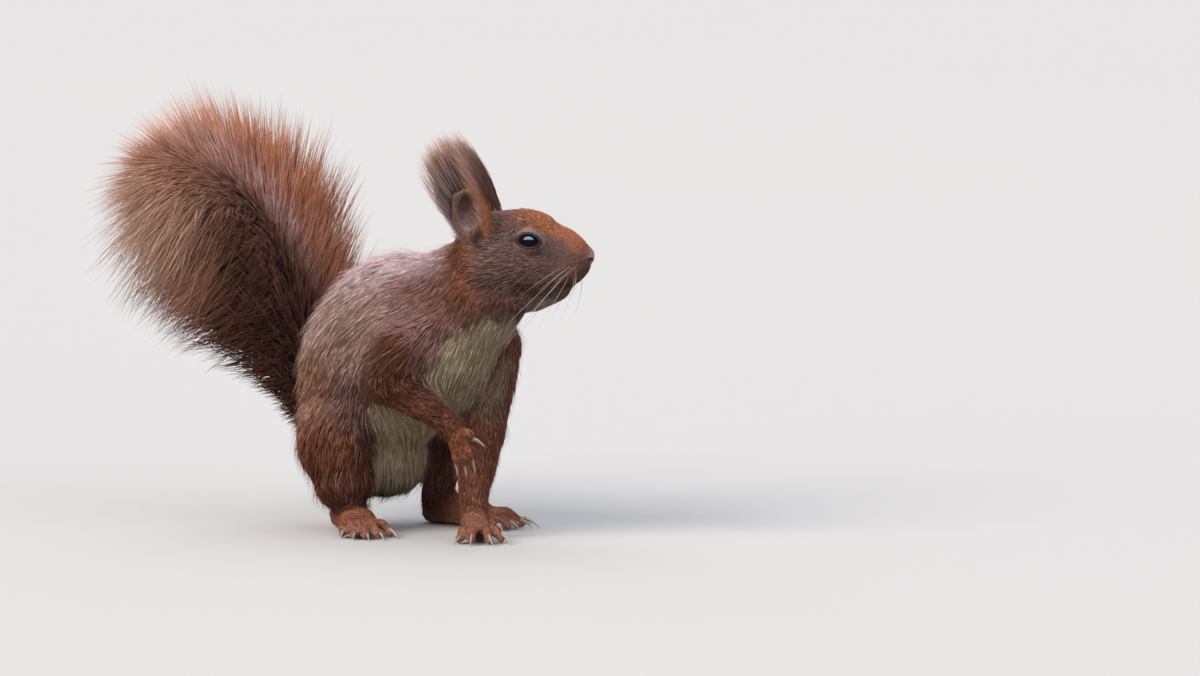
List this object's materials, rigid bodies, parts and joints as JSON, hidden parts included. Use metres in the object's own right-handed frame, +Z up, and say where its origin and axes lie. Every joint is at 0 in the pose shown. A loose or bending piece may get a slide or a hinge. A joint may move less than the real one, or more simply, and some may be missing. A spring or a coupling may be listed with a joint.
{
  "type": "red squirrel",
  "caption": "Still, life-size model of a tufted-eared tree squirrel, alert on three feet with a forepaw lifted and the bushy tail raised.",
  "frame": {"origin": "middle of the footprint, on the ground the feet stand on", "axes": "+X the way the head looks, +Z up, the chest turned towards -Y"},
  "size_m": [0.1828, 0.1314, 0.1578],
  "materials": {
    "body_fur": "matte",
    "head_fur": "matte",
    "leg_fur": "matte",
    "ear_fur": "matte",
    "tuft_hair": "matte",
    "tail_fur": "matte",
    "bare_skin": "satin",
    "horn": "satin",
    "eye": "polished"
  },
  "bodies": {
    "root": {"right_eye": "eye", "left_eye": "eye", "nose": "bare_skin", "head": "head_fur", "trunk": "body_fur", "neck": "body_fur", "right_ear": "ear_fur", "left_ear": "ear_fur", "right_ear_tuft": "tuft_hair", "left_ear_tuft": "tuft_hair", "right_upper_arm": "leg_fur", "right_forearm": "leg_fur", "left_upper_arm": "leg_fur", "left_forearm": "leg_fur", "right_thigh": "leg_fur", "left_thigh": "leg_fur", "right_shin": "leg_fur", "left_shin": "leg_fur", "right_hind_foot": "leg_fur", "left_hind_foot": "leg_fur", "left_fore_foot": "leg_fur", "right_fore_foot": "leg_fur", "tail_1": "tail_fur", "tail_2": "tail_fur", "tail_3": "tail_fur", "tail_4": "tail_fur", "right_hind_claw_1": "horn", "right_hind_claw_2": "horn", "right_hind_claw_3": "horn", "right_hind_claw_4": "horn", "right_hind_claw_5": "horn", "left_hind_claw_1": "horn", "left_hind_claw_2": "horn", "left_hind_claw_3": "horn", "left_hind_claw_4": "horn", "left_hind_claw_5": "horn", "left_fore_claw_1": "horn", "left_fore_claw_2": "horn", "left_fore_claw_3": "horn", "left_fore_claw_4": "horn", "right_fore_claw_1": "horn", "right_fore_claw_2": "horn", "right_fore_claw_3": "horn", "right_fore_claw_4": "horn"}
  },
  "joints": []
}
